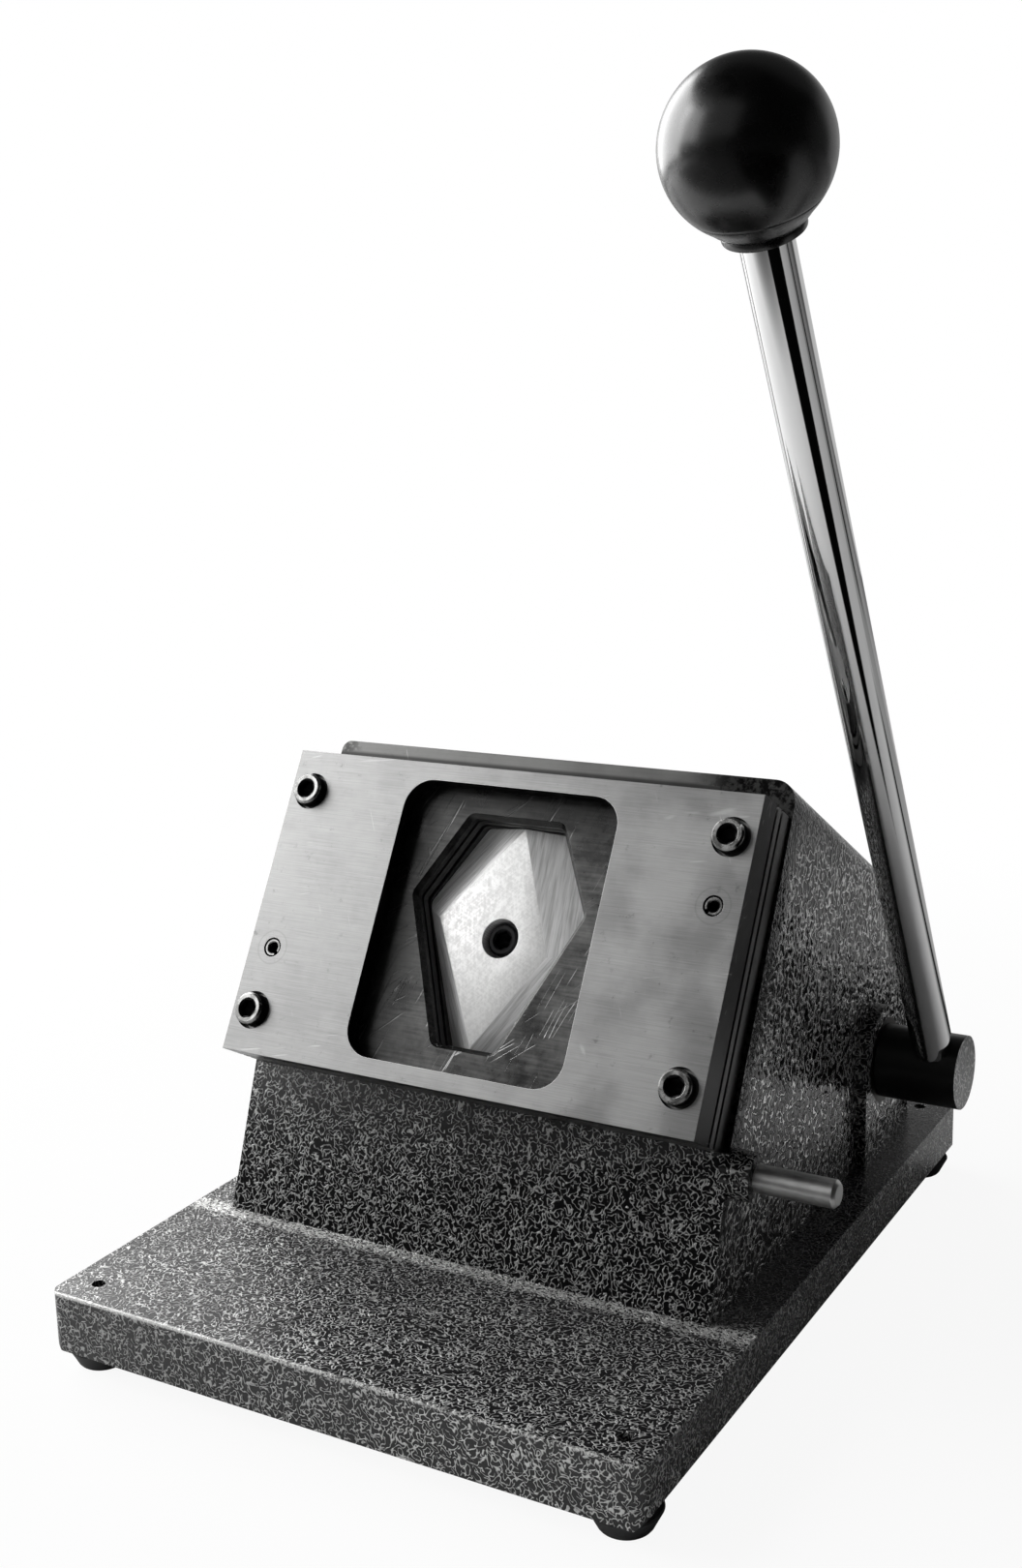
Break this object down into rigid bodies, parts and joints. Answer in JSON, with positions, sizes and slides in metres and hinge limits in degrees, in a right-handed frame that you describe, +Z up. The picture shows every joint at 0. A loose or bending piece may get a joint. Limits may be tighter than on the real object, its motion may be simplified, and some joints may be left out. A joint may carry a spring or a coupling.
{
  "type": "badge cutter",
  "caption": "Bench cutter for badges: a side lever turns a cam that drives a faceted six-sided punch through a slot into a slanted steel die plate on a hammertone cast housing and footed base",
  "frame": {"origin": "centre of the bounding box's bottom face, on the surface that the rubber feet stand on", "axes": "+Z up, +Y from the front edge of the base towards the back, +X towards the lever side"},
  "size_m": [0.2175, 0.252, 0.3452],
  "materials": {
    "hammertone": "charcoal hammertone paint",
    "ground_steel": "ground and brushed tool steel",
    "black_oxide": "black oxide steel",
    "bright_steel": "bright drawn steel",
    "chrome": "polished chrome plate",
    "bronze": "turned bronze",
    "spring_steel": "oiled spring wire",
    "shim_steel": "dark rolled shim",
    "black_knob": "polished phenolic",
    "rubber": "moulded rubber"
  },
  "bodies": {
    "base": {"base_plate": "hammertone", "rubber_feet": "rubber", "foot_screws": "bright_steel", "housing": "hammertone", "housing_bolts": "black_oxide", "die_plate": "ground_steel", "slot_spacers": "shim_steel", "stripper_plate": "ground_steel", "shim_frame": "shim_steel", "guide_plate": "ground_steel", "plate_screws": "black_oxide", "roll_pins": "spring_steel", "ram_bush": "bronze", "return_springs": "spring_steel", "shaft_bush_left": "bronze", "shaft_bush_right": "bronze", "stop_pin": "bright_steel", "rear_cover": "hammertone", "cover_screws": "bright_steel"},
    "lever": {"lever_shaft": "hammertone", "cam": "ground_steel", "cam_key": "bright_steel", "shaft_washer": "bright_steel", "shaft_circlip": "spring_steel", "lever_rod": "chrome", "knob": "black_knob", "knob_insert": "bronze", "lever_set_screw": "black_oxide"},
    "ram": {"ram": "bright_steel", "punch": "ground_steel", "punch_screw": "black_oxide", "punch_dowel": "bright_steel"}
  },
  "joints": [
    {"name": "lever_hinge", "type": "hinge", "parent": "base", "child": "lever", "pos_m": [0.04625, 0.07663, 0.05505], "axis": [1, 0, 0], "range_deg": [0, 51]},
    {"name": "ram_slide", "type": "slide", "parent": "base", "child": "ram", "axis": [0, -0.866, 0.5], "range_m": [0, 0.00845], "stiffness_N_per_m": 8000, "springref_m": -0.0085, "deforming": ["return_springs"]}
  ],
  "couplings": [
    {"joint": "ram_slide", "follows": "lever_hinge", "m_per_rad": 0.00948}
  ]
}
